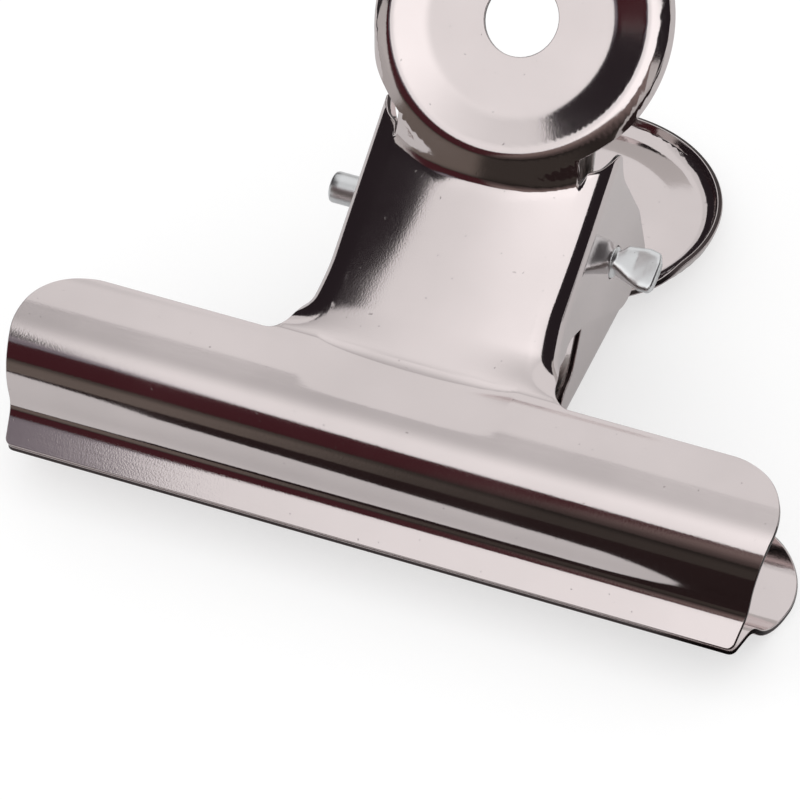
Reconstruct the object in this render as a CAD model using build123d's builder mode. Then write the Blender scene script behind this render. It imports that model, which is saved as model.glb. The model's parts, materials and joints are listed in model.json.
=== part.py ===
from build123d import *
from math import asin, atan, atan2, ceil, cos, hypot, pi, radians, sin, sqrt, tan
import os

os.makedirs("parts", exist_ok=True)

# A bulldog clip lying on its back, on its rear half. Millimetres.
# +X runs along the pivot pin, +Y from the jaws to the thumb plates, +Z up.
# "Along" is a distance from the pin towards the thumb plates, and "out" a distance
# from the clip's middle plane, which leans by the resting tilt.

# Sheet and overall sizes
sheet = 0.6
jaw_width = 75.0
pin_to_lip = 34.4
jaw_height = 15.85
lip_gap = 0.1

# Rolled jaw, seen from its end
lip_angle = 23.0
lip_length = 2.6
lip_bend = 2.7
roll_run = 3.6
roll_fall = 0.22
roll_bend = 6.0
crown_run = 3.6
crown_rise = -0.15
crown_bend = 25.0
strip_length = 2.7
strip_angle = 24.0
strip_bend = 4.0
shoulder_bend = 3.0

# Jaw outline, seen from the front
jaw_top_corner = 6.5
jaw_lip_corner = 0.7
jaw_end_angle = 10.6

# Neck, a channel that leans in towards the jaws
neck_width = 23.2
neck_offset = 11.4
neck_angle = 14.5
neck_fold = 2.5
neck_flare = 4.5
cheek_play = 0.1

# Cheeks, seen from the side
cheek_top = 5.6
cheek_reach = 8.2
nested_reach = 7.4
cheek_notch_along = -7.0
cheek_notch_out = 0.6
cheek_slope = 53.5
cheek_corner = 3.6
cheek_top_corner = 1.5
cheek_blend = 6.0
relief_corner = 0.8
fold_top_along = 3.0
fold_end = 12.0
fold_fade = 4.0
fold_blend = 3.0

# Thumb plates: round dishes with a rolled rim, whose outer slope runs down into the neck
thumb_angle = 23.5
thumb_radius = 14.3
thumb_centre = 12.8
thumb_out = 17.85
dish_radius = 8.9
dish_bend = 6.0
rim_radius = 12.6
rim_height = 0.64
rim_slope = 25.0
rim_bend = 2.5
ramp_radius = 17.6
hanging_hole = 7.0

# Pivot pin, plain at its left end and crushed to a spade at its right end
pin_diameter = 3.0
pin_play = 0.05
pin_left_end = 5.0
pin_end_chamfer = 0.25
spade_gap = 0.25
spade_length = 4.0
spade_root = 2.4
spade_shoulder = 0.75
spade_height = 4.1
spade_thickness = 1.8
spade_corner = 0.5

# Torsion spring round the pin
wire = 1.5
coil_bore = 3.9
coil_turns = 8
coil_gap = 0.6
leg_seat = 7.0
leg_play = 0.15
leg_rise = 0.35


def neck_face(along):
    """Distance of a neck's outer face from the middle plane."""
    return neck_offset + tan(radians(neck_angle)) * along


def thumb_face(along):
    """Distance of a thumb dish's outer face from the middle plane."""
    return thumb_out + tan(radians(thumb_angle)) * (along - thumb_centre)


def plate_place(radius, height):
    """The (along, out) place at a radius of the thumb plate towards its tip, and a height on it."""
    turn = radians(thumb_angle)
    return (
        thumb_centre + radius * cos(turn) - height * sin(turn),
        thumb_out + radius * sin(turn) + height * cos(turn),
    )


# Outer side profile of a half, as (along, out) corners from the lip to the end of the neck
shoulder_along = jaw_height - pin_to_lip
lip = (-pin_to_lip, lip_gap / 2 + sheet * cos(radians(lip_angle)))
lip_root = (lip[0] + lip_length * cos(radians(lip_angle)), lip[1] + lip_length * sin(radians(lip_angle)))
shoulder = (shoulder_along, neck_face(shoulder_along))
strip_end = (
    shoulder[0] - strip_length * cos(radians(strip_angle)),
    shoulder[1] + strip_length * sin(radians(strip_angle)),
)
crown = (strip_end[0] - crown_run, strip_end[1] + crown_rise)
roll_edge = (crown[0] - roll_run, crown[1] - roll_fall)
neck_end = (fold_top_along, neck_face(fold_top_along))
profile_corners = [lip, lip_root, roll_edge, crown, strip_end, shoulder, neck_end]
profile_bends = [lip_bend, roll_bend, crown_bend, strip_bend, shoulder_bend]

# Outer face of a thumb plate, as (radius, height) corners from the hanging hole outwards
ramp_height = rim_height - tan(radians(rim_slope)) * (ramp_radius - rim_radius)
plate_corners = [(hanging_hole / 2, 0), (dish_radius, 0), (rim_radius, rim_height), (ramp_radius, ramp_height)]
plate_bends = [dish_bend, rim_bend]

# Resting tilt: the rear half lies on its jaw roll and on the rim of its thumb plate
outline_steps = 400
outline_shares = [step / outline_steps for step in range(outline_steps)]
jaw_line = FilletPolyline(*profile_corners, radius=profile_bends)
jaw_points = [point for point in (jaw_line @ share for share in outline_shares) if point.X < shoulder_along]
plate_line = FilletPolyline(*plate_corners, radius=plate_bends)
plate_points = [point for point in (plate_line @ share for share in outline_shares) if point.X < thumb_radius]
rests = []
for point in plate_points:
    along, out = plate_place(point.X, point.Y)
    slope = min((out - jaw.Y) / (along - jaw.X) for jaw in jaw_points)
    rests.append((slope, along, out))
rest_slope, rest_along, rest_out = max(rests)
tilt = atan(rest_slope)
pin_height = rest_out * cos(tilt) - rest_along * sin(tilt)
edge_height = rim_height - tan(radians(rim_slope)) * (thumb_radius - rim_radius)
tip = plate_place(thumb_radius, edge_height - sheet / cos(radians(rim_slope)))
handle_end = tip[0] * cos(tilt) + tip[1] * sin(tilt)
jaw_end = lip[0] * cos(tilt) - lip[1] * sin(tilt)
pin_centre = Vector(0, -(handle_end + jaw_end) / 2, pin_height)
pin_axis = Vector(1, 0, 0)
along_axis = Vector(0, cos(tilt), sin(tilt))
front_axis = Vector(0, -sin(tilt), cos(tilt))

# Jaw outline: the ends lean in towards the lip, and are widest in their rounded top corners
end_slope = tan(radians(jaw_end_angle))
corner_middle = jaw_width / 2 - jaw_top_corner
corner_side = corner_middle + jaw_top_corner / cos(radians(jaw_end_angle))
jaw_top_half = corner_side + jaw_top_corner * end_slope
jaw_lip_half = jaw_top_half - jaw_height * end_slope

# Shared sizes
nested_width = neck_width - 2 * (sheet + cheek_play)
clear_depth = 3 * thumb_out
pin_hole = pin_diameter / 2 + pin_play


def stamped_half(name, facing, width, reach):
    """One stamping: jaw, neck, cheeks and thumb plate; facing is +1 for the front, -1 for the rear."""
    out_axis = front_axis * facing
    lean = radians(neck_angle)
    thumb_lean = radians(thumb_angle)
    thumb_middle = pin_centre + along_axis * thumb_centre + out_axis * thumb_face(thumb_centre)
    plan = Plane(pin_centre, x_dir=pin_axis, z_dir=front_axis)
    side = Plane(pin_centre, x_dir=along_axis, z_dir=pin_axis * facing)
    across = Plane(
        pin_centre,
        x_dir=pin_axis * -facing,
        z_dir=along_axis * cos(lean) + out_axis * sin(lean),
    )
    thumb_normal = out_axis * cos(thumb_lean) - along_axis * sin(thumb_lean)
    thumb = Plane(thumb_middle, x_dir=pin_axis, z_dir=thumb_normal)
    thumb_section = Plane(thumb_middle, x_dir=pin_axis, z_dir=pin_axis.cross(thumb_normal))
    thumb_axis = Axis(thumb_middle, thumb_normal)
    web = neck_offset * cos(lean)
    flat_width = width - 2 * neck_fold
    fold_top = neck_face(fold_top_along) - neck_fold
    heel_along = cheek_notch_along + (reach + cheek_notch_out) / tan(radians(cheek_slope))
    fade_along = -fold_end - fold_fade

    # The two folded sides: a channel without its web, trimmed to the cheeks' outline
    with BuildPart() as sides:
        with BuildSketch(across):
            with Locations((0, web - clear_depth / 2)):
                RectangleRounded(width, clear_depth, neck_fold)
            with Locations((0, web - sheet - clear_depth / 2)):
                RectangleRounded(width - 2 * sheet, clear_depth, neck_fold - sheet, mode=Mode.SUBTRACT)
            Rectangle(flat_width, 4 * clear_depth, mode=Mode.SUBTRACT)
        extrude(amount=clear_depth, both=True)
        with BuildSketch(side):
            with BuildLine():
                FilletPolyline(
                    (fold_top_along, clear_depth),
                    (fold_top_along, fold_top),
                    (cheek_top, fold_top),
                    (cheek_top, -reach),
                    (heel_along, -reach),
                    (cheek_notch_along, cheek_notch_out),
                    (-fold_end, neck_face(-fold_end) - neck_fold),
                    (fade_along, neck_face(fade_along)),
                    (fade_along, clear_depth),
                    radius=[
                        0,
                        relief_corner,
                        cheek_top_corner,
                        cheek_corner,
                        cheek_corner,
                        cheek_blend,
                        fold_blend,
                        relief_corner,
                        0,
                    ],
                    close=True,
                )
            make_face()
        extrude(amount=width, both=True, mode=Mode.INTERSECT)

    # The thumb plate, turned about its middle, with a ramp as wide as the neck's flat web
    with BuildPart() as plate:
        with BuildSketch(thumb_section):
            with BuildLine():
                plate_face = FilletPolyline(*plate_corners, radius=plate_bends)
                offset(plate_face, amount=sheet, side=Side.RIGHT, closed=True)
            make_face()
        revolve(axis=thumb_axis)
        with BuildSketch(thumb):
            Circle(thumb_radius)
            with Locations((0, -facing * ramp_radius / 2)):
                Rectangle(flat_width, ramp_radius)
        extrude(amount=clear_depth, both=True, mode=Mode.INTERSECT)
        with BuildSketch(side):
            with BuildLine():
                Polyline(
                    (-clear_depth, neck_face(-clear_depth) - sheet / cos(lean)),
                    (clear_depth, neck_face(clear_depth) - sheet / cos(lean)),
                    (clear_depth, -clear_depth),
                    (-clear_depth, -clear_depth),
                    close=True,
                )
            make_face()
        extrude(amount=thumb_radius * 2, both=True, mode=Mode.SUBTRACT)

    # The space under the plate's middle layer, which the neck's web stops at
    with BuildPart() as hollow:
        with BuildSketch(thumb_section):
            with Locations((0, -sheet / 2)):
                with BuildLine():
                    FilletPolyline(*plate_corners, radius=plate_bends)
                    Polyline(
                        plate_corners[-1],
                        (ramp_radius, -clear_depth),
                        (0, -clear_depth),
                        (0, 0),
                        plate_corners[0],
                    )
                make_face()
        revolve(axis=thumb_axis)

    with BuildPart() as half:
        # The bent sheet, as wide as the jaw
        with BuildSketch(side):
            with BuildLine():
                profile = FilletPolyline(*profile_corners, radius=profile_bends)
                offset(profile, amount=sheet, side=Side.RIGHT, closed=True)
            make_face()
        extrude(amount=jaw_width, both=True)
        # The outline it is cut to: flared neck and jaw
        with BuildSketch(plan):
            with Locations((0, shoulder_along + neck_flare / 2)):
                Rectangle(width + 2 * neck_flare, neck_flare)
            with Locations((width / 2 + neck_flare, shoulder_along + neck_flare)):
                Circle(neck_flare, mode=Mode.SUBTRACT)
            with Locations((-width / 2 - neck_flare, shoulder_along + neck_flare)):
                Circle(neck_flare, mode=Mode.SUBTRACT)
            with BuildLine():
                FilletPolyline(
                    (jaw_top_half, shoulder_along),
                    (jaw_lip_half, -pin_to_lip),
                    (-jaw_lip_half, -pin_to_lip),
                    (-jaw_top_half, shoulder_along),
                    radius=[jaw_top_corner, jaw_lip_corner, jaw_lip_corner, jaw_top_corner],
                    close=True,
                )
            make_face()
            with Locations((0, (shoulder_along + fold_top_along) / 2)):
                Rectangle(flat_width, fold_top_along - shoulder_along)
        extrude(amount=clear_depth, both=True, mode=Mode.INTERSECT)
        add(hollow.part, mode=Mode.SUBTRACT)
        add(plate.part)
        add(sides.part)
        # Pin holes
        with BuildSketch(side):
            Circle(pin_hole)
        extrude(amount=width, both=True, mode=Mode.SUBTRACT)

    half.part.label = name
    export_step(half.part, f"parts/{name}.step")


stamped_half("front_half", 1, neck_width, cheek_reach)
stamped_half("rear_half", -1, nested_width, nested_reach)

# Pivot pin: a round shank, then a flat spade that widens from its root
shank_start = -neck_width / 2 - pin_left_end
spade_start = neck_width / 2 + spade_gap
shoulder_end = spade_start + spade_shoulder
spade_end = spade_start + spade_length
across_pin = Plane(pin_centre + pin_axis * shank_start, x_dir=along_axis, z_dir=pin_axis)
pin_flat = Plane(pin_centre, x_dir=pin_axis, z_dir=front_axis)

with BuildPart() as pivot_pin:
    with BuildSketch(across_pin):
        Circle(pin_diameter / 2)
    extrude(amount=shoulder_end - shank_start)
    chamfer(pivot_pin.edges().sort_by(Axis.X)[0], pin_end_chamfer)
    with BuildSketch(pin_flat):
        with BuildLine():
            FilletPolyline(
                (spade_start, spade_root / 2),
                (shoulder_end, spade_height / 2),
                (spade_end, spade_height / 2),
                (spade_end, -spade_height / 2),
                (shoulder_end, -spade_height / 2),
                (spade_start, -spade_root / 2),
                radius=[0, spade_corner, spade_corner, spade_corner, spade_corner, 0],
                close=True,
            )
        make_face()
    extrude(amount=spade_thickness / 2, both=True)
pivot_pin.part.label = "pivot_pin"
export_step(pivot_pin.part, "parts/pivot_pin.step")


# Torsion spring: a leg on the rear plate, the coil from left to right, a leg on the front plate
coil_radius = (coil_bore + wire) / 2
coil_pitch = wire + coil_gap
seat_out = thumb_face(leg_seat) + (leg_rise - sheet - wire / 2 - leg_play) / cos(radians(thumb_angle))
leg_angle = atan2(seat_out, leg_seat) - asin(coil_radius / hypot(leg_seat, seat_out))
coil_start = 3 * pi / 2 - leg_angle
coil_sweep = 2 * pi * coil_turns + pi - 2 * leg_angle
coil_length = coil_pitch * coil_sweep / (2 * pi)
quarter_count = ceil(coil_sweep / (pi / 2))


def place(along, out, across):
    """A point in the clip's own directions."""
    return pin_centre + along_axis * along + front_axis * out + pin_axis * across


def heading(along, out, across):
    """A unit direction in the clip's own directions."""
    return (along_axis * along + front_axis * out + pin_axis * across).normalized()


def coil_point(share):
    """Middle of the wire at a share of the coil, wound clockwise as it runs along the pin."""
    turn = coil_start - coil_sweep * share
    return place(coil_radius * cos(turn), coil_radius * sin(turn), coil_length * (share - 0.5))


def coil_heading(share):
    """Direction of the wire, with no drift along the pin where a leg leaves."""
    turn = coil_start - coil_sweep * share
    drift = coil_pitch / (2 * pi) if 0 < share < 1 else 0
    return heading(coil_radius * sin(turn), -coil_radius * cos(turn), drift)


def biarc_middle(start, start_heading, end, end_heading):
    """Where two tangent arcs meet between two ends with given directions."""
    chord = end - start
    both = start_heading + end_heading
    square = 2 * (1 - start_heading.dot(end_heading))
    reach = (sqrt(chord.dot(both) ** 2 + square * chord.dot(chord)) - chord.dot(both)) / square
    return (start + start_heading * reach + end - end_heading * reach) * 0.5


with BuildPart() as torsion_spring:
    with BuildLine() as wire_path:
        Line(place(leg_seat, -seat_out, -coil_length / 2), coil_point(0))
        for quarter in range(quarter_count):
            here = quarter / quarter_count
            there = (quarter + 1) / quarter_count
            middle = biarc_middle(
                coil_point(here), coil_heading(here), coil_point(there), coil_heading(there)
            )
            first_arc = TangentArc(coil_point(here), middle, tangent=coil_heading(here))
            TangentArc(middle, coil_point(there), tangent=first_arc % 1)
        Line(coil_point(1), place(leg_seat, seat_out, coil_length / 2))
    with BuildSketch(Plane(wire_path.line @ 0, z_dir=wire_path.line % 0)):
        Circle(wire / 2)
    sweep(path=wire_path.wire())
torsion_spring.part.label = "torsion_spring"
export_step(torsion_spring.part, "parts/torsion_spring.step")

# The wire's least gap to itself, between points at least half a turn apart
wire_length = wire_path.wire().length
gap_steps = 1200
wire_points = [wire_path.wire() @ (step / gap_steps) for step in range(gap_steps + 1)]
half_turn_steps = ceil(pi * coil_radius / wire_length * gap_steps)
least_gap = min(
    (wire_points[i] - wire_points[j]).length
    for i in range(gap_steps + 1)
    for j in range(i + half_turn_steps, min(i + 5 * half_turn_steps, gap_steps + 1))
) - wire
print(f"spring: least gap to itself {least_gap:.2f} mm, wire length {wire_length:.1f} mm")
print(f"spring: volume {torsion_spring.part.volume:.2f}, section times length {pi * wire**2 / 4 * wire_length:.2f}")
print(f"resting tilt {tilt * 180 / pi:.2f} degrees, pin height {pin_height:.2f}, pin at y {pin_centre.Y:.2f}")
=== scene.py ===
"""A bulldog clip in bright nickel plate, lying on its back: its looks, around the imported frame."""
import json
from math import acos, asin, atan2, ceil, cos, hypot, pi, radians, sin, tan

import bpy
import numpy as np
from mathutils import Matrix, Vector
from mathutils.geometry import delaunay_2d_cdt


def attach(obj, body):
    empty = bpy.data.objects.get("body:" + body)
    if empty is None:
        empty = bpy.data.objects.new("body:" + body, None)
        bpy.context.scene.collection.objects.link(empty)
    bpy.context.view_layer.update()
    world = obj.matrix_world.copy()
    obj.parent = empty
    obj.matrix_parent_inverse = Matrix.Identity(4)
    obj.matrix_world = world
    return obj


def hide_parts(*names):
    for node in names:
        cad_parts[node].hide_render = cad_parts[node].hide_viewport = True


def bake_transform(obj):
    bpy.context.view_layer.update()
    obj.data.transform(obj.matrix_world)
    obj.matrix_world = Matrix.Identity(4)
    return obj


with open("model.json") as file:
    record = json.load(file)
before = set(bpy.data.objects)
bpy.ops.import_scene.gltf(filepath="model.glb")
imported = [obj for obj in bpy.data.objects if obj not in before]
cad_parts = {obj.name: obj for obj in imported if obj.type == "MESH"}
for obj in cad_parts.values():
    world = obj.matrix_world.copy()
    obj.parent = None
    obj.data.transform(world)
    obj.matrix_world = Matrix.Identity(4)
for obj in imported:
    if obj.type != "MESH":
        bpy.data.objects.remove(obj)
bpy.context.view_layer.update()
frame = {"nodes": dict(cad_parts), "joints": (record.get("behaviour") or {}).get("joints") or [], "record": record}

# The clip's sizes are in millimetres and its angles in degrees. Places start at the pin's middle:
# "across" runs along the pin, "along" from the jaws to the thumb plates, and "out" from the plane
# between the halves.
MM = 0.001
mounts = {mount["name"]: mount for mount in frame["record"]["mounts"]}
hinge = next(joint for joint in frame["joints"] if joint["name"] == "jaw_hinge")
pin_centre = np.array(hinge["pos_m"])
across_axis = np.array((1.0, 0.0, 0.0))
along_axis = -np.array(mounts["jaw_grip"]["axis"])
front_axis = np.cross(across_axis, along_axis)

# Sheet and jaw
sheet = 0.6
rim_round = 0.12
rim_inset = 0.02
jaw_width = 75.0
pin_to_lip = 34.4
jaw_height = 15.85
lip_gap = 0.1
lip_angle = 21.5
lip_length = 3.6
lip_bend = 2.0
roll_run = 4.5
roll_fall = 0.3
roll_bend = 6.4
crown_run = 3.6
crown_rise = -0.15
crown_bend = 10.0
strip_length = 2.7
strip_angle = 24.0
strip_bend = 8.0
shoulder_bend = 1.2
jaw_top_corner = 6.5
jaw_lip_corner = 0.7
jaw_end_angle = 10.6

# The crease between jaw and neck, which dips in the middle
crease_bow = 0.5
crease_soft = 0.2
dip_starts = -24.0
dip_full = -20.6

# Neck: a web with a fold on each side, which starts at the jaw
neck_width = 23.2
nested_width = 21.8
neck_offset = 11.4
neck_angle = 14.5
neck_fold = 2.5
neck_flare = 2.0
flare_side = 0.6
outer_spread = 0.8
nested_spread = 0.0
spread_ends = -10.5
fold_starts = -18.1
fold_full = -14.4

# The web's bow from side to side: its fall over the square of the side, none at the plate's foot
bow_low = 0.0042
bow_high = 0.0075
bow_starts = -16.0
bow_full = -2.0
bow_end = 13.8
bow_end_fade = 3.0
bow_end_curve = 20.0
draw_side = 3.0

# Cheeks: corners as (along, out), with the radii that round them
cheek_reach = 8.2
nested_reach = 7.4
cheek_slope = 53.5
cheek_root = [(-14.6, 4.6), (-12.6, 3.4), (-10.6, 3.5)]
root_blends = [0.8, 2.0, 2.0]
cheek_notch = (-7.0, 0.6)
cheek_blend = 6.0
cheek_corner = 3.6
cheek_top = 5.6
top_blend = 2.0
cheek_crest = [(6.35, -1.0), (5.05, 7.5), (5.9, 10.2)]
crest_blends = [6.0, 6.0, 0.8]

# The slit between cheek and thumb plate: corners as distances along the sheet and past the web
fold_crest = [(4.9, 3.1), (3.2, 1.5), (2.45, 0.4)]
fold_blends = [0.8, 0.5, 0.2]
slit_root = 0.85
slit_blend = 0.06
slit_inset = 0.1

# Thumb plates: a dish, a rolled rim, and a flange that is turned down except at the foot
thumb_angle = 23.5
thumb_radius = 14.3
thumb_centre = (12.8, 17.85)
dish_radius = 8.9
dish_bend = 6.0
rim_radius = 12.6
rim_height = 0.63
rim_slope = 25.0
rim_bend = 2.5
flange_starts = 13.2
flange_corner = 13.95
flange_drop = 1.1
flange_bend = 0.7
flange_foot = (46.0, 72.0)
hanging_hole = 7.0

# How the plate runs out past its border, and into the web at its foot
border_starts = 0.05
border_ends = 0.65
border_sharper = 0.5
crease_round = 0.3
foot_inside = 0.2
foot_outside = 0.3
foot_starts = -12.0
foot_full = -6.0

# Pivot pin: the spade's outlines are (across, along), its half thickness (across, out), and its dents
# have a depth and two wave numbers
pin_radius = 1.5
pin_hole = 1.55
pin_left = -16.6
pin_chamfer = 0.3
pin_end_ring = (0.4, 0.08)
shank_starts = 1.0
shank_end = 11.62
shank_neck = [(11.7, 1.42), (11.8, 1.25)]
spade_start = 11.9
spade_end = 15.85
spade_crest = [(11.9, 0.9), (12.5, 1.85), (14.5, 2.2), (15.5, 2.0), (15.85, 1.2)]
spade_foot = [(11.9, -1.0), (12.6, -1.3), (14.6, -2.1), (15.6, -2.1), (15.85, -1.7)]
spade_half_thick = [(11.9, 1.15), (12.6, 1.0), (13.6, 0.75), (15.85, 0.6)]
spade_square = 0.6
dent_waves = [(0.015, 1.7, 1.3), (0.006, 4.1, -2.7)]
tool_marks = 0.004

# Torsion spring
wire = 1.5
coil_bore = 3.9
coil_turns = 8
coil_pitch = 2.1
leg_seat = 7.0
leg_play = 0.15
leg_rise = 0.35

# Meshes: spacings of their lines, the bands round the crease, and counts of points
fine_arc = 0.005
plate_arc = 0.004
profile_spacing = 0.02
ease_half = 30
profile_reach = 34.0
far_radius = 80.0
outline_spacing = 0.25
roll_spacing = 0.3
crease_spacing = 0.16
neck_spacing = 0.4
side_spacing = 0.4
roll_band_end = -2.4
crease_band = (-2.2, 1.0)
neck_band_start = 1.3
mesh_half = 38.0
border_clear = 0.22
merge_distance = 1e-5
least_turn = 1e-4
slope_step = 0.04
rim_points = 150
hole_sides = 48
pin_sides = 48
shank_rings = 30
spade_rings = 26
wire_sides = 20
coil_points = 40
leg_points = 12


def row_vectors(across, along, out):
    """Vectors of the row frame from their parts in the clip's own directions."""
    return (np.multiply.outer(across, across_axis) + np.multiply.outer(along, along_axis)
            + np.multiply.outer(out, front_axis))


def place(across, along, out):
    """Points of the row frame, in metres, from places in the clip's own directions."""
    return pin_centre + MM * row_vectors(across, along, out)


def unit(vector):
    return vector / np.linalg.norm(vector)


def units(vectors):
    return vectors / np.linalg.norm(vectors, axis=1)[:, None]


def circle_angles(count):
    return np.linspace(0, 2 * pi, count + 1)[:-1]


def smooth(low, high, value):
    """0 below low, 1 above high, and a smooth step between."""
    share = np.clip((value - low) / (high - low), 0, 1)
    return share * share * (3 - 2 * share)


def arc_step(start_turn, bend, length):
    """Sideways and downward parts of an arc that starts at a turn and bends evenly."""
    middle = start_turn + bend * length / 2
    chord = length * np.sinc(bend * length / 2 / pi)
    return chord * np.cos(middle), chord * np.sin(middle)


def bent_line(corners, radii, spacing=0.2):
    """Points of a line through corners that are rounded by these radii."""
    corners = [np.array(corner, float) for corner in corners]
    points = [corners[0]]
    for before, corner, after, radius in zip(corners, corners[1:], corners[2:], radii):
        back = unit(before - corner)
        onward = unit(after - corner)
        turn = pi - acos(np.clip(back @ onward, -1, 1))
        if turn < least_turn:
            points.append(corner)
            continue
        reach = radius * tan(turn / 2)
        middle = corner + unit(back + onward) * radius / cos(turn / 2)
        start = corner + back * reach - middle
        steps = max(3, ceil(radius * turn / spacing))
        spin = np.sign(start[1] * back[0] - start[0] * back[1])
        for step in range(steps + 1):
            angle = spin * turn * step / steps
            points.append(middle + np.array((start[0] * cos(angle) - start[1] * sin(angle),
                                             start[0] * sin(angle) + start[1] * cos(angle))))
    points.append(corners[-1])
    return np.array(points)


def along_line(points, spacing):
    """The same line in equal steps."""
    lengths = np.concatenate([[0], np.cumsum(np.linalg.norm(np.diff(points, axis=0), axis=1))])
    places = np.linspace(0, lengths[-1], max(2, ceil(lengths[-1] / spacing)) + 1)
    return np.stack([np.interp(places, lengths, points[:, axis]) for axis in (0, 1)], axis=1)


# The sheet's side profile, from the lip to past the thumb plate, with its bends eased. Distances
# along the sheet, called s, start where the neck passes over the pin.
lean = radians(neck_angle)
shoulder_along = jaw_height - pin_to_lip


def neck_face(along):
    return neck_offset + tan(lean) * along


lip = (-pin_to_lip, lip_gap / 2 + sheet * cos(radians(lip_angle)))
lip_root = (lip[0] + lip_length * cos(radians(lip_angle)), lip[1] + lip_length * sin(radians(lip_angle)))
shoulder = (shoulder_along, neck_face(shoulder_along))
strip_end = (shoulder[0] - strip_length * cos(radians(strip_angle)),
             shoulder[1] + strip_length * sin(radians(strip_angle)))
crown = (strip_end[0] - crown_run, strip_end[1] + crown_rise)
roll_edge = (crown[0] - roll_run, crown[1] - roll_fall)
profile_end = (profile_reach, neck_face(profile_reach))
profile = along_line(bent_line(
    [lip, lip_root, roll_edge, crown, strip_end, shoulder, profile_end],
    [lip_bend, roll_bend, crown_bend, strip_bend, shoulder_bend], fine_arc), profile_spacing)
profile_step = np.linalg.norm(profile[1] - profile[0])
profile_turn = np.arctan2(np.diff(profile[:, 1]), np.diff(profile[:, 0]))
ease = np.hanning(2 * ease_half + 1)
profile_turn = np.convolve(np.pad(profile_turn, ease_half, mode="edge"), ease / ease.sum(), mode="valid")
profile_way = np.stack([np.cos(profile_turn), np.sin(profile_turn)], axis=1) * profile_step
profile = profile[0] + np.concatenate([[(0, 0)], np.cumsum(profile_way, axis=0)])
profile_turn = np.append(profile_turn, profile_turn[-1])
profile_s = np.arange(len(profile)) * profile_step
profile_s = profile_s - np.interp(0, profile[:, 0], profile_s)


def sheet_s(along):
    """Distance along the sheet at a place along the clip."""
    return np.interp(along, profile[:, 0], profile_s)


def sheet_step(starts, full, s):
    """A smooth step along the sheet, between two places along the clip."""
    return smooth(sheet_s(starts), sheet_s(full), s)


def web_place(along, out):
    """Distance along the neck's web, and height above it, of a place seen from the side."""
    s = along * cos(lean) + (out - neck_offset) * sin(lean)
    height = (out - neck_offset) * cos(lean) - along * sin(lean)
    return s, height


crease_s = sheet_s(shoulder_along)
fold_length = neck_fold * pi / 2
profile_rise = web_place(profile[:, 0], profile[:, 1])[1]

# The thumb plate, as heights over its own plane, from its middle outwards
plate_s, plate_height = web_place(*thumb_centre)
plate_lean = radians(thumb_angle - neck_angle)


def slope_point(radius):
    """A point of the outer slope of the plate's rim."""
    return radius, rim_height - tan(radians(rim_slope)) * (radius - rim_radius)


plate_face = bent_line([(0, 0), (dish_radius, 0), (rim_radius, rim_height), slope_point(far_radius)],
                       [dish_bend, rim_bend], plate_arc)
flange_top = slope_point(flange_corner)
flange_face = bent_line([slope_point(flange_starts), flange_top, (thumb_radius, flange_top[1] - flange_drop)],
                        [flange_bend], plate_arc)
flange_way = np.cumsum(np.hypot(*np.diff(flange_face, axis=0, prepend=flange_face[:1]).T)) + flange_starts


def flange_share(reach, side):
    """How far the rim is turned down: not at the foot, where the plate runs into the neck."""
    return smooth(radians(flange_foot[0]), radians(flange_foot[1]), np.arctan2(side, -reach))


def border_radius(share):
    """The plate's radius in the flat blank, which has more sheet where the flange is turned down."""
    return thumb_radius + (flange_way[-1] - thumb_radius) * share


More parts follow.
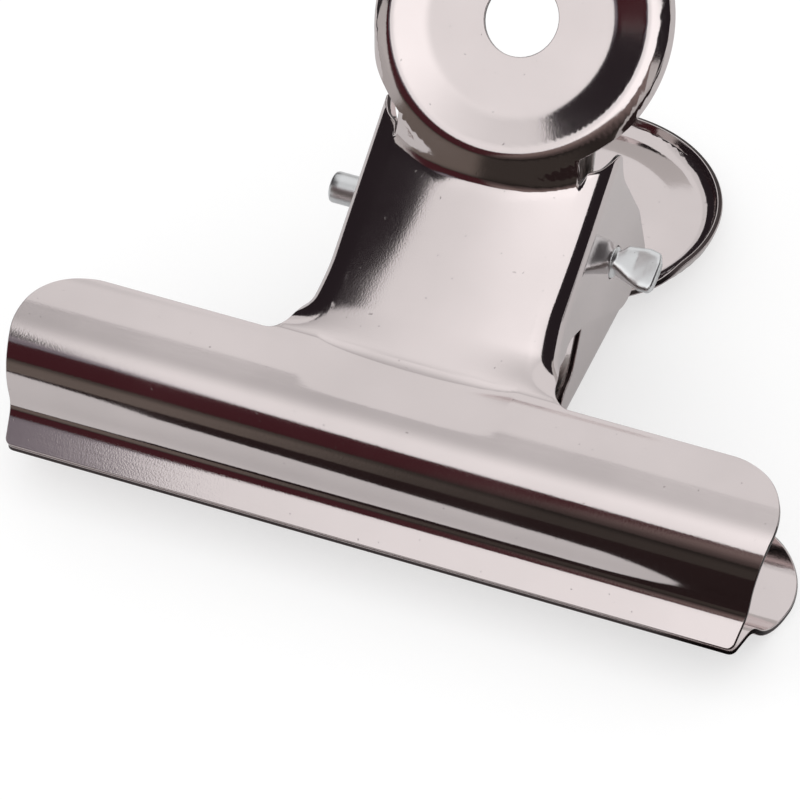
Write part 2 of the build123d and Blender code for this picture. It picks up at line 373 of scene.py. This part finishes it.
def sheet_point(s, u, width, foot_spread):
    """The outer face of a half, across, along and out, from s and the side u of the flat blank."""
    spread = foot_spread * (1 - sheet_step(fold_starts, spread_ends, s))
    flat_half = width / 2 - neck_fold + spread
    side = np.abs(u)
    reach = (s - plate_s) / cos(plate_lean)
    radius = np.hypot(reach, side)
    share = flange_share(reach, side)
    border = border_radius(share)
    past_border = smooth(border + border_starts, border + border_ends - border_sharper * share, radius)
    on_plate = (1 - past_border) * (s > 0)

    # The web bows a little from side to side, and the fold turns the cheeks back from it
    fold = sheet_step(fold_starts, fold_full, s) * (1 - on_plate)
    before_plate = smooth(0, bow_end_fade, plate_s - bow_end - s + side**2 / bow_end_curve)
    bow = (bow_low + (bow_high - bow_low) * sheet_step(bow_starts, bow_full, s)) * fold * before_plate
    web_turn = 2 * bow * flat_half
    fold_bend = (fold * pi / 2 - web_turn) / fold_length
    on_web = arc_step(0, 2 * bow, np.minimum(side, flat_half))
    on_fold = arc_step(web_turn, fold_bend, np.clip(side - flat_half, 0, fold_length))
    on_cheek = arc_step(fold * pi / 2, 0, np.maximum(side - flat_half - fold_length, 0))
    across = on_web[0] + on_fold[0] + on_cheek[0]
    depth = on_web[1] + on_fold[1] + on_cheek[1]

    # The cheeks stay where a flat web would have them
    bowed_web = arc_step(0, 2 * bow, flat_half)
    bowed_fold = arc_step(web_turn, fold_bend, fold_length)
    plain_fold = arc_step(0, fold * pi / 2 / fold_length, fold_length)
    drawn_in = flat_half + plain_fold[0] - bowed_web[0] - bowed_fold[0]
    lowered = bowed_web[1] + bowed_fold[1] - plain_fold[1]
    across = across + drawn_in * smooth(flat_half - draw_side, flat_half + fold_length, side)
    depth = depth - lowered * smooth(flat_half, flat_half + fold_length, side)

    # The thumb plate, whose outer slope runs down into the web
    rise = np.interp(radius, plate_face[:, 0], plate_face[:, 1])
    turned = share * (radius > flange_starts) * on_plate
    rim_across = np.interp(radius, flange_way, flange_face[:, 0])
    rim_rise = np.interp(radius, flange_way, flange_face[:, 1])
    rise = rise + turned * (rim_rise - rise)
    shrink = 1 + turned * (rim_across / np.maximum(radius, 1) - 1)
    thumb = plate_height + reach * shrink * sin(plate_lean) + rise * cos(plate_lean)
    thumb = (thumb + np.hypot(thumb, crease_round)) / 2
    on_web_side = 1 - smooth(flat_half - foot_inside, flat_half + foot_outside, side)
    thumb *= np.maximum(on_plate, on_web_side * sheet_step(foot_starts, foot_full, s))

    # The crease, where the jaw's strip meets the web
    dip = crease_bow * np.maximum(1 - (side / flat_half) ** 2, 0) * sheet_step(dip_starts, dip_full, s)
    strip_rise = np.interp(s, profile_s, profile_rise)
    sunk = (strip_rise + dip - np.hypot(strip_rise - dip, crease_soft * dip / crease_bow)) / 2

    height = thumb - np.maximum(sunk, 0) - depth
    lean_s = (reach * (shrink - 1) * cos(plate_lean) - rise * sin(plate_lean)) * on_plate
    across = across * (1 + on_plate * (shrink - 1))
    turn_s = np.interp(s, profile_s, profile_turn)
    along = np.interp(s, profile_s, profile[:, 0]) - np.sin(turn_s) * height + np.cos(turn_s) * lean_s
    out = np.interp(s, profile_s, profile[:, 1]) + np.cos(turn_s) * height + np.sin(turn_s) * lean_s
    return np.sign(u) * across, along, out


def half_outline(width, reach):
    """The flat blank's outline and the outlines of its holes, as (s, u) points."""
    end_slope = tan(radians(jaw_end_angle))
    corner_side = jaw_width / 2 - jaw_top_corner + jaw_top_corner / cos(radians(jaw_end_angle))
    top_half = corner_side + jaw_top_corner * end_slope
    lip_half = top_half - jaw_height * end_slope
    half = width / 2
    flat_half = half - neck_fold

    def cheek(along, out):
        s, height = web_place(along, out)
        return s, flat_half + fold_length - height - neck_fold

    jaw = bent_line(
        [(-pin_to_lip, 0), (-pin_to_lip, lip_half), (shoulder_along, top_half), (shoulder_along, half)],
        [jaw_lip_corner, jaw_top_corner])
    jaw[:, 0] = sheet_s(jaw[:, 0])
    rim_angles = np.linspace(pi - asin((flat_half - slit_inset) / thumb_radius), 0, rim_points)
    rim_reach = border_radius(flange_share(np.cos(rim_angles), np.sin(rim_angles)))
    rim = np.stack([plate_s + rim_reach * cos(plate_lean) * np.cos(rim_angles),
                    rim_reach * np.sin(rim_angles)], axis=1)
    heel = cheek_notch[0] + (reach + cheek_notch[1]) / tan(radians(cheek_slope))
    neck = bent_line(
        [tuple(jaw[-2]), (crease_s, half + flare_side), *[cheek(*corner) for corner in cheek_root],
         cheek(*cheek_notch), cheek(heel, -reach), cheek(cheek_top, -reach),
         *[cheek(*corner) for corner in cheek_crest], *[(s, flat_half + past) for s, past in fold_crest],
         (slit_root, flat_half), tuple(rim[0])],
        [neck_flare, *root_blends, cheek_blend, cheek_corner, top_blend, *crest_blends, *fold_blends,
         slit_blend])
    right = along_line(np.concatenate([jaw[:-1], neck[1:-1], rim]), outline_spacing)
    left = right[-2:0:-1] * (1, -1)
    pin_s, pin_u = cheek(0, 0)
    angles = circle_angles(hole_sides)
    ring = np.stack([np.cos(angles), np.sin(angles)], axis=1)
    holes = [ring * (hanging_hole / 2 * cos(plate_lean), hanging_hole / 2) + (plate_s, 0),
             ring * pin_hole + (pin_s, pin_u), ring * pin_hole + (pin_s, -pin_u)]
    return np.concatenate([right, left]), holes


def inside(points, loop):
    """Whether each point lies inside a closed loop."""
    x, y = points[:, 0], points[:, 1]
    found = np.zeros(len(points), bool)
    for (x0, y0), (x1, y1) in zip(loop, np.roll(loop, -1, axis=0)):
        if y0 != y1:
            crosses = (y0 > y) != (y1 > y)
            found ^= crosses & (x < (x1 - x0) * (y - y0) / (y1 - y0) + x0)
    return found


def near_loop(points, loop, reach):
    """Whether each point lies close to a loop's points."""
    close = np.zeros(len(points), bool)
    for point in loop:
        close |= np.abs(points - point).max(axis=1) < reach
    return close


def flat_mesh(outline, holes):
    """Triangles that fill the flat blank, finer where it bends."""
    def on_blank(points):
        found = inside(points, outline)
        for hole in holes:
            found &= ~inside(points, hole)
        return found

    loops = [outline, *holes]
    roll_lines = np.arange(profile_s[0], crease_s + roll_band_end, roll_spacing)
    crease_lines = np.arange(crease_s + crease_band[0], crease_s + crease_band[1], crease_spacing)
    neck_lines = np.arange(crease_s + neck_band_start, plate_s + thumb_radius, neck_spacing)
    s_lines = np.concatenate([roll_lines, crease_lines, neck_lines])
    u_lines = np.arange(-mesh_half, mesh_half + side_spacing / 2, side_spacing)
    grid = np.stack(np.meshgrid(s_lines, u_lines), axis=-1).reshape(-1, 2)
    keep = on_blank(grid)
    for loop in loops:
        keep &= ~near_loop(grid, loop, border_clear)
    points = np.concatenate(loops + [grid[keep]])
    edges = []
    first = 0
    for loop in loops:
        count = len(loop)
        edges += [(first + i, first + (i + 1) % count) for i in range(count)]
        first += count
    found = delaunay_2d_cdt([Vector(p) for p in points], edges, [], 0, merge_distance)
    points = np.array([tuple(p) for p in found[0]])
    faces = np.array(found[2])
    return points, faces[on_blank(points[faces].mean(axis=1))]


def add_piece(name, points, faces, normals=None):
    """A mesh object with smooth faces; points are in the row frame, in metres."""
    mesh = bpy.data.meshes.new(name)
    mesh.from_pydata([tuple(p) for p in points], [], [tuple(f) for f in faces])
    mesh.polygons.foreach_set("use_smooth", [True] * len(mesh.polygons))
    if normals is not None:
        mesh.normals_split_custom_set_from_vertices([tuple(n) for n in normals])
    mesh.validate()
    piece = bpy.data.objects.new(name, mesh)
    bpy.context.scene.collection.objects.link(piece)
    return piece


def dress(piece, *materials):
    piece.data.materials.clear()
    for material in materials:
        piece.data.materials.append(material)


def stamped_half(name, facing, width, reach, foot_spread):
    """One half as a bent sheet with thickness and rounded edges; facing is +1 in front, -1 behind."""
    blank, triangles = flat_mesh(*half_outline(width, reach))
    s, u = blank.T

    def solid_place(s, u):
        across, along, out = sheet_point(s, u, width, foot_spread)
        return np.stack([across, along, facing * out], axis=1)

    outer = solid_place(s, u)
    normal = units(np.cross(solid_place(s + slope_step, u) - solid_place(s - slope_step, u),
                            solid_place(s, u + slope_step) - solid_place(s, u - slope_step)) * -facing)
    flat = blank[triangles]
    turned = np.cross(flat[:, 1] - flat[:, 0], flat[:, 2] - flat[:, 0]) * facing > 0
    triangles[turned] = triangles[turned][:, ::-1]

    # Border edges, each used by one triangle, in the triangle's own direction
    sides = np.concatenate([triangles[:, [0, 1]], triangles[:, [1, 2]], triangles[:, [2, 0]]])
    keys = {tuple(side) for side in sides}
    border = np.array([side for side in sides if (side[1], side[0]) not in keys])
    onward = np.zeros_like(outer)
    step = outer[border[:, 1]] - outer[border[:, 0]]
    np.add.at(onward, border[:, 0], step)
    np.add.at(onward, border[:, 1], step)
    rim = np.unique(border)
    away = units(np.cross(onward[rim], normal[rim]))

    # Two faces, drawn in a little at the border, and two rings between them
    top = outer.copy()
    top[rim] -= away * rim_round
    bottom = top - normal * sheet
    edge = outer[rim] - away * rim_inset
    ring_top = edge - normal[rim] * rim_round
    ring_bottom = edge - normal[rim] * (sheet - rim_round)
    count = len(outer)
    ring_of = {int(v): i for i, v in enumerate(rim)}
    points = np.concatenate([top, bottom, ring_top, ring_bottom])
    normals = np.concatenate([normal, -normal, away, away])
    faces = [tuple(t) for t in triangles] + [tuple(t[::-1] + count) for t in triangles]
    edge_faces = []
    for a, b in border:
        top_a = 2 * count + ring_of[a]
        top_b = 2 * count + ring_of[b]
        low_a = top_a + len(rim)
        low_b = top_b + len(rim)
        edge_faces.append(len(faces) + 1)
        faces += [(b, a, top_a, top_b), (top_b, top_a, low_a, low_b), (low_b, low_a, a + count, b + count)]

    piece = add_piece(name, place(*points.T), faces, row_vectors(*normals.T))
    # The cut face of each edge takes the second, near-black material: painted shade along the edges
    dress(piece, plate, painted_edge_shade)
    face_material = np.zeros(len(faces), int)
    face_material[edge_faces] = 1
    piece.data.polygons.foreach_set("material_index", face_material)
    return piece


def ring_faces(rings, sides):
    """Faces that join a row of rings and close both ends."""
    faces = []
    for ring in range(rings - 1):
        low = ring * sides
        high = low + sides
        for i in range(sides):
            j = (i + 1) % sides
            faces.append((low + i, low + j, high + j, high + i))
    last = (rings - 1) * sides
    faces.append(tuple(range(sides))[::-1])
    faces.append(tuple(range(last, last + sides)))
    return faces


def tube(name, path, radius, sides):
    """A closed tube along a path of points in the row frame."""
    heading = units(np.gradient(path, axis=0))
    ring_side = unit(np.cross(heading[0], across_axis))
    angles = circle_angles(sides)
    rings = []
    for centre, direction in zip(path, heading):
        ring_side = unit(ring_side - direction * (ring_side @ direction))
        other = np.cross(direction, ring_side)
        rings.append(centre + radius * (np.multiply.outer(np.cos(angles), ring_side)
                                        + np.multiply.outer(np.sin(angles), other)))
    return add_piece(name, np.concatenate(rings), ring_faces(len(rings), sides))


def spring_path():
    """The wire's middle line, rear leg, coil and front leg, and the coil's length."""
    coil_radius = (coil_bore + wire) / 2
    thumb_face = thumb_centre[1] + tan(radians(thumb_angle)) * (leg_seat - thumb_centre[0])
    seat_out = thumb_face + (leg_rise - sheet - wire / 2 - leg_play) / cos(radians(thumb_angle))
    leg_angle = atan2(seat_out, leg_seat) - asin(coil_radius / hypot(leg_seat, seat_out))
    sweep = 2 * pi * coil_turns + pi - 2 * leg_angle
    length = coil_pitch * sweep / (2 * pi)
    share = np.linspace(0, 1, coil_points * coil_turns)
    turn = 3 * pi / 2 - leg_angle - sweep * share
    coil = np.stack([length * (share - 0.5), coil_radius * np.cos(turn), coil_radius * np.sin(turn)], axis=1)
    legs = []
    for end, facing in ((0, -1), (-1, 1)):
        tip = np.array((coil[end][0], leg_seat, facing * seat_out))
        legs.append(np.linspace(tip, coil[end], leg_points))
    path = np.concatenate([legs[0][:-1], coil, legs[1][::-1][1:]])
    return path, length


def spring():
    path, length = spring_path()
    piece = tube("spring_wire", place(*path.T), wire / 2 * MM, wire_sides)
    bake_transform(piece)
    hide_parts("torsion_spring")
    return piece


def pin_piece():
    """The pin: a plain shank with a rounded end, then a spade crushed flat."""
    draws = np.random.default_rng(7)
    shank = [(pin_left, pin_radius - pin_chamfer),
             (pin_left + pin_chamfer * pin_end_ring[0], pin_radius - pin_end_ring[1]),
             (pin_left + pin_chamfer, pin_radius)]
    shank += [(x, pin_radius) for x in np.linspace(pin_left + shank_starts, shank_end, shank_rings)]
    shank += shank_neck
    angles = circle_angles(pin_sides)
    rings = [np.stack([np.full(pin_sides, x), r * np.cos(angles), r * np.sin(angles)], axis=1)
             for x, r in shank]
    round_cos = np.sign(np.cos(angles)) * np.abs(np.cos(angles)) ** spade_square
    round_sin = np.sign(np.sin(angles)) * np.abs(np.sin(angles)) ** spade_square
    for x in np.linspace(spade_start, spade_end, spade_rings):
        top = np.interp(x, *np.transpose(spade_crest))
        low = np.interp(x, *np.transpose(spade_foot))
        thick = np.interp(x, *np.transpose(spade_half_thick))
        ring = np.stack([np.full(pin_sides, x), (top + low) / 2 + (top - low) / 2 * round_cos,
                         thick * round_sin], axis=1)
        dents = sum(depth * np.sin(turn * x + slant * ring[:, 1]) for depth, turn, slant in dent_waves)
        ring[:, 2] += dents * np.sign(round_sin)
        ring[:, 1:] += draws.normal(0, tool_marks, (pin_sides, 2))
        rings.append(ring)
    # These rings turn the other way, so the faces are turned over
    faces = [(face[0], *face[:0:-1]) for face in ring_faces(len(rings), pin_sides)]
    piece = add_piece("pin_shaft", place(*np.concatenate(rings).T), faces)
    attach(piece, "pin")
    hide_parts("pivot_pin")
    return piece


# Metal: scales of the noise, per metre, and what each pattern does
smear_scale = 70
smear_tint = 0.9
smear_roughness = (0.8, 1.3)
pit_scale = 2600
pit_range = (0.12, 0.15)
pit_tint = 0.75
pit_strength = 0.3
pit_depth = 0.00001
grain_scale = 3000
grain_stretch = (0.1, 1, 1)
grain_depth = 0.000003
peel_scale = 6000
peel_depth = 0.000004


def nickel(name, colour, roughness, grain):
    """Bright plate: polishing grain along the jaw, a fine orange peel, pits and faint smears."""
    material = bpy.data.materials.new(name)
    material.use_nodes = True
    nodes, links = material.node_tree.nodes, material.node_tree.links
    shader = nodes["Principled BSDF"]
    shader.inputs["Metallic"].default_value = 1.0
    coordinates = nodes.new("ShaderNodeTexCoord")

    def noise(scale, detail, stretch=(1, 1, 1)):
        mapping = nodes.new("ShaderNodeMapping")
        mapping.inputs["Scale"].default_value = stretch
        links.new(coordinates.outputs["Object"], mapping.inputs["Vector"])
        texture = nodes.new("ShaderNodeTexNoise")
        texture.inputs["Scale"].default_value = scale
        texture.inputs["Detail"].default_value = detail
        links.new(mapping.outputs["Vector"], texture.inputs["Vector"])
        return texture.outputs["Fac"]

    def ramp(value, low, high, from_low=0.3, from_high=0.7):
        node = nodes.new("ShaderNodeMapRange")
        node.inputs["From Min"].default_value = from_low
        node.inputs["From Max"].default_value = from_high
        node.inputs["To Min"].default_value = low
        node.inputs["To Max"].default_value = high
        links.new(value, node.inputs["Value"])
        return node.outputs["Result"]

    def tint(share, low_tint):
        node = nodes.new("ShaderNodeMix")
        node.data_type = "RGBA"
        node.inputs["A"].default_value = (*[low_tint * c for c in colour], 1)
        node.inputs["B"].default_value = (*colour, 1)
        links.new(share, node.inputs["Factor"])
        return node

    def bump(height, strength, distance, before=None):
        node = nodes.new("ShaderNodeBump")
        node.inputs["Strength"].default_value = strength
        node.inputs["Distance"].default_value = distance
        links.new(height, node.inputs["Height"])
        if before is not None:
            links.new(before, node.inputs["Normal"])
        return node.outputs["Normal"]

    smear = noise(smear_scale, 4)
    pits = ramp(noise(pit_scale, 0), 0.0, 1.0, *pit_range)
    smeared = tint(ramp(smear, 0.0, 1.0), smear_tint)
    pitted = tint(pits, pit_tint)
    links.new(smeared.outputs["Result"], pitted.inputs["B"])
    links.new(pitted.outputs["Result"], shader.inputs["Base Color"])
    smear_low, smear_high = smear_roughness
    links.new(ramp(smear, roughness * smear_low, roughness * smear_high), shader.inputs["Roughness"])
    streaks = bump(noise(grain_scale, 1, grain_stretch), grain, grain_depth)
    peel = bump(noise(peel_scale, 1), grain, peel_depth, streaks)
    links.new(bump(pits, pit_strength, pit_depth, peel), shader.inputs["Normal"])
    return material


# The pieces
plate = nickel("bright_nickel", (0.78, 0.705, 0.70), 0.09, 0.45)
# The cut faces of the sheet's edges are painted near-black: painted shade for the dark lines along the edges
painted_edge_shade = nickel("painted_edge_shade", (0.07, 0.055, 0.055), 0.3, 0.5)
pin_metal = nickel("pin_nickel", (0.86, 0.87, 0.88), 0.28, 0.5)
wire_metal = nickel("wire_nickel", (0.6, 0.59, 0.57), 0.25, 0.3)

front_piece = stamped_half("front_stamping", 1, neck_width, cheek_reach, outer_spread)
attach(front_piece, "front_jaw")
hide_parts("front_half")
rear_piece = stamped_half("rear_stamping", -1, nested_width, nested_reach, nested_spread)
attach(rear_piece, "rear_jaw")
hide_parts("rear_half")
dress(pin_piece(), pin_metal)
dress(spring(), wire_metal)

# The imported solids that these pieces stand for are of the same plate
for node in frame["nodes"].values():
    dress(node, plate)

# The stage, in metres
floor_half = 3.0
table_glow = 0.56
table_glint = 0.16
card_lift = 0.0005
light_height = 0.4
light_split = -0.006
wall_y = -0.8
wall_ends = (-0.9, 0.7)
wall_split = -0.238
wall_low_top = 0.3
wall_top = 1.0
pale_ends = (-2.5, 2.5)
back_wall_y = 1.3
back_wall_left = -0.6
back_wall_top = 0.58


def plain_material(name, colour):
    material = bpy.data.materials.new(name)
    material.use_nodes = True
    shader = material.node_tree.nodes["Principled BSDF"]
    shader.inputs["Base Color"].default_value = (*colour, 1)
    shader.inputs["Roughness"].default_value = 0.9
    shader.inputs["Specular IOR Level"].default_value = 0.0
    return material


def lit_table():
    """A white table, partly lit from within, that shows duller in the metal than to the eye."""
    material = plain_material("table_white", (0.45, 0.45, 0.45))
    nodes, links = material.node_tree.nodes, material.node_tree.links
    shader = nodes["Principled BSDF"]
    shader.inputs["Emission Color"].default_value = (1, 1, 1, 1)
    light_path = nodes.new("ShaderNodeLightPath")
    level = nodes.new("ShaderNodeMapRange")
    level.inputs["To Min"].default_value = table_glow
    level.inputs["To Max"].default_value = table_glint
    links.new(light_path.outputs["Is Glossy Ray"], level.inputs["Value"])
    links.new(level.outputs["Result"], shader.inputs["Emission Strength"])
    return material


def glow(name, colour, *steps):
    """Light whose strength is the product of two smooth steps: axis, start, end, strength at each."""
    material = bpy.data.materials.new(name)
    material.use_nodes = True
    nodes, links = material.node_tree.nodes, material.node_tree.links
    nodes.remove(nodes["Principled BSDF"])
    emission = nodes.new("ShaderNodeEmission")
    emission.inputs["Color"].default_value = (*colour, 1)
    coordinates = nodes.new("ShaderNodeTexCoord")
    axes = nodes.new("ShaderNodeSeparateXYZ")
    links.new(coordinates.outputs["Object"], axes.inputs["Vector"])
    product = nodes.new("ShaderNodeMath")
    product.operation = "MULTIPLY"
    for index, (axis, start, end, low, high) in enumerate(steps):
        step = nodes.new("ShaderNodeMapRange")
        step.interpolation_type = "SMOOTHSTEP"
        step.inputs["From Min"].default_value = start
        step.inputs["From Max"].default_value = end
        step.inputs["To Min"].default_value = low
        step.inputs["To Max"].default_value = high
        links.new(axes.outputs[axis], step.inputs["Value"])
        links.new(step.outputs["Result"], product.inputs[index])
    links.new(product.outputs["Value"], emission.inputs["Strength"])
    links.new(emission.outputs["Emission"], nodes["Material Output"].inputs["Surface"])
    return material


def stage_shape(name, corners, material, is_card=True):
    """A flat piece of the stage through these corners; a card shows in reflections alone."""
    mesh = bpy.data.meshes.new(name)
    mesh.from_pydata(corners, [], [tuple(range(len(corners)))])
    mesh.materials.append(material)
    shape = bpy.data.objects.new(name, mesh)
    bpy.context.scene.collection.objects.link(shape)
    if is_card:
        shape.visible_camera = False
        shape.visible_diffuse = False
        shape.visible_shadow = False


def level_card(name, outline, height, material):
    stage_shape(name, [(x, y, height) for x, y in outline], material)


def wall_card(name, y, left, right, low, high, light):
    stage_shape(name, [(left, y, low), (right, y, low), (right, y, high), (left, y, high)], light)


floor = [(-floor_half, -floor_half, 0), (floor_half, -floor_half, 0),
         (floor_half, floor_half, 0), (-floor_half, floor_half, 0)]
stage_shape("floor", floor, lit_table(), is_card=False)

# The room round the soft overhead light is dark, so metal shows it as its dark bands
near_light = [(-0.188, light_split), (-0.188, -0.20), (-0.195, -0.30), (-0.187, -0.37),
              (-0.16, -0.41), (0.21, -0.50), (0.21, light_split)]
far_light = [(-0.22, light_split), (0.21, light_split), (0.45, 0.9), (-0.62, 0.9), (-0.32, 0.2)]
light_border = [(-0.26, -0.28), (-0.26, -0.4), (-0.187, -0.37), (-0.195, -0.30), (-0.1935, -0.28)]
near_glow = glow("near_glow", (1, 1, 1), ("X", -0.14, 0.0, 0.95, 1.25), ("Y", -0.22, 0.02, 1.04, 0.59))
far_glow = glow("far_glow", (1, 1, 1), ("X", -0.26, -0.225, 0.74, 0.84), ("Y", -0.05, 0.4, 1.0, 1.0))
mauve_glow = glow("mauve_glow", (0.2, 0.18, 0.205),
                  ("X", -0.26, -0.235, 0.3, 1.0), ("Y", -0.4, -0.35, 0.3, 1.0))
level_card("near_light", near_light, light_height, near_glow)
level_card("far_light", far_light, light_height, far_glow)
level_card("light_border", light_border, light_height, mauve_glow)

# The wall in front of the jaws, olive near the table, then maroon on the left and brown on the right
olive_glow = glow("olive_glow", (0.15, 0.125, 0.11),
                  ("X", -0.285, -0.215, 1.0, 0.3), ("Z", 0.16, 0.3, 1.0, 0.4))
maroon_glow = glow("maroon_glow", (0.058, 0.016, 0.02),
                   ("X", -0.25, -0.238, 1.0, 0.7), ("Z", 0.3, 0.36, 0.8, 1.0))
brown_glow = glow("brown_glow", (0.2, 0.152, 0.142),
                  ("X", -0.245, -0.225, 0.4, 1.0), ("Z", 0.3, 0.62, 0.3, 1.0))
wall_card("wall_low", wall_y, wall_ends[0], wall_ends[1], 0.0, wall_low_top, olive_glow)
wall_card("wall_left", wall_y, wall_ends[0], wall_split, wall_low_top, wall_top, maroon_glow)
wall_card("wall_right", wall_y, wall_split, wall_ends[1], wall_low_top, wall_top, brown_glow)

# Pale walls beside it and behind the clip, which the clip's other sides show
pale_glow = glow("pale_glow", (1, 0.98, 0.96), ("X", -3.0, 3.0, 0.55, 0.55), ("Z", 0.0, 0.6, 0.8, 1.0))
wall_card("pale_left", wall_y, pale_ends[0], wall_ends[0], 0.0, wall_top, pale_glow)
wall_card("pale_right", wall_y, wall_ends[1], pale_ends[1], 0.0, wall_top, pale_glow)
wall_card("pale_back", back_wall_y, back_wall_left, pale_ends[1], 0.0, back_wall_top, pale_glow)

# The table is dark in front of the clip and to its right, as the metal shows it
table_front = [(0.26, 0.07), (0.06, 0.0), (0.0245, -0.0405), (0.0165, -0.0497), (-0.0072, -0.0565),
               (-0.037, -0.072), (-0.064, -0.13), (-0.2, -0.40), (-0.4, -0.79), (1.5, -0.79)]
level_card("table_front", table_front, card_lift, plain_material("card_dark", (0.02, 0.012, 0.012)))

# White all round, apart from what the metal mirrors
world = bpy.data.worlds.new("studio")
bpy.context.scene.world = world
world.use_nodes = True
world_nodes, world_links = world.node_tree.nodes, world.node_tree.links
white_room = world_nodes["Background"]
white_room.inputs["Color"].default_value = (1, 1, 1, 1)
white_room.inputs["Strength"].default_value = 1.08
dark_room = world_nodes.new("ShaderNodeBackground")
dark_room.inputs["Color"].default_value = (0.022, 0.017, 0.02, 1)
light_path = world_nodes.new("ShaderNodeLightPath")
room = world_nodes.new("ShaderNodeMixShader")
world_links.new(light_path.outputs["Is Glossy Ray"], room.inputs["Fac"])
world_links.new(white_room.outputs["Background"], room.inputs[1])
world_links.new(dark_room.outputs["Background"], room.inputs[2])
world_links.new(room.outputs["Shader"], world_nodes["World Output"].inputs["Surface"])

# The camera, in the clip's own directions
camera_place = (218.153, -312.176, 658.166)
camera_right = (0.92098, 0.36033, -0.14817)
camera_back = (0.29269, -0.3889, 0.87355)
camera_focal_pixels = 8222.9
image_pixels = 800
camera = bpy.data.objects.new("camera", bpy.data.cameras.new("camera"))
bpy.context.scene.collection.objects.link(camera)
bpy.context.scene.camera = camera
camera.data.sensor_width = 36.0
camera.data.lens = camera.data.sensor_width * camera_focal_pixels / image_pixels
camera.data.clip_start = 0.01
camera.data.clip_end = 20.0
back_axis = Vector(row_vectors(*camera_back)).normalized()
right_axis = Vector(row_vectors(*camera_right)).normalized()
up_axis = back_axis.cross(right_axis)
right_axis = up_axis.cross(back_axis)
camera_turn = Matrix((right_axis, up_axis, back_axis)).transposed().to_4x4()
camera.matrix_world = Matrix.Translation(Vector(place(*camera_place))) @ camera_turn
bpy.context.scene.view_settings.view_transform = "Standard"
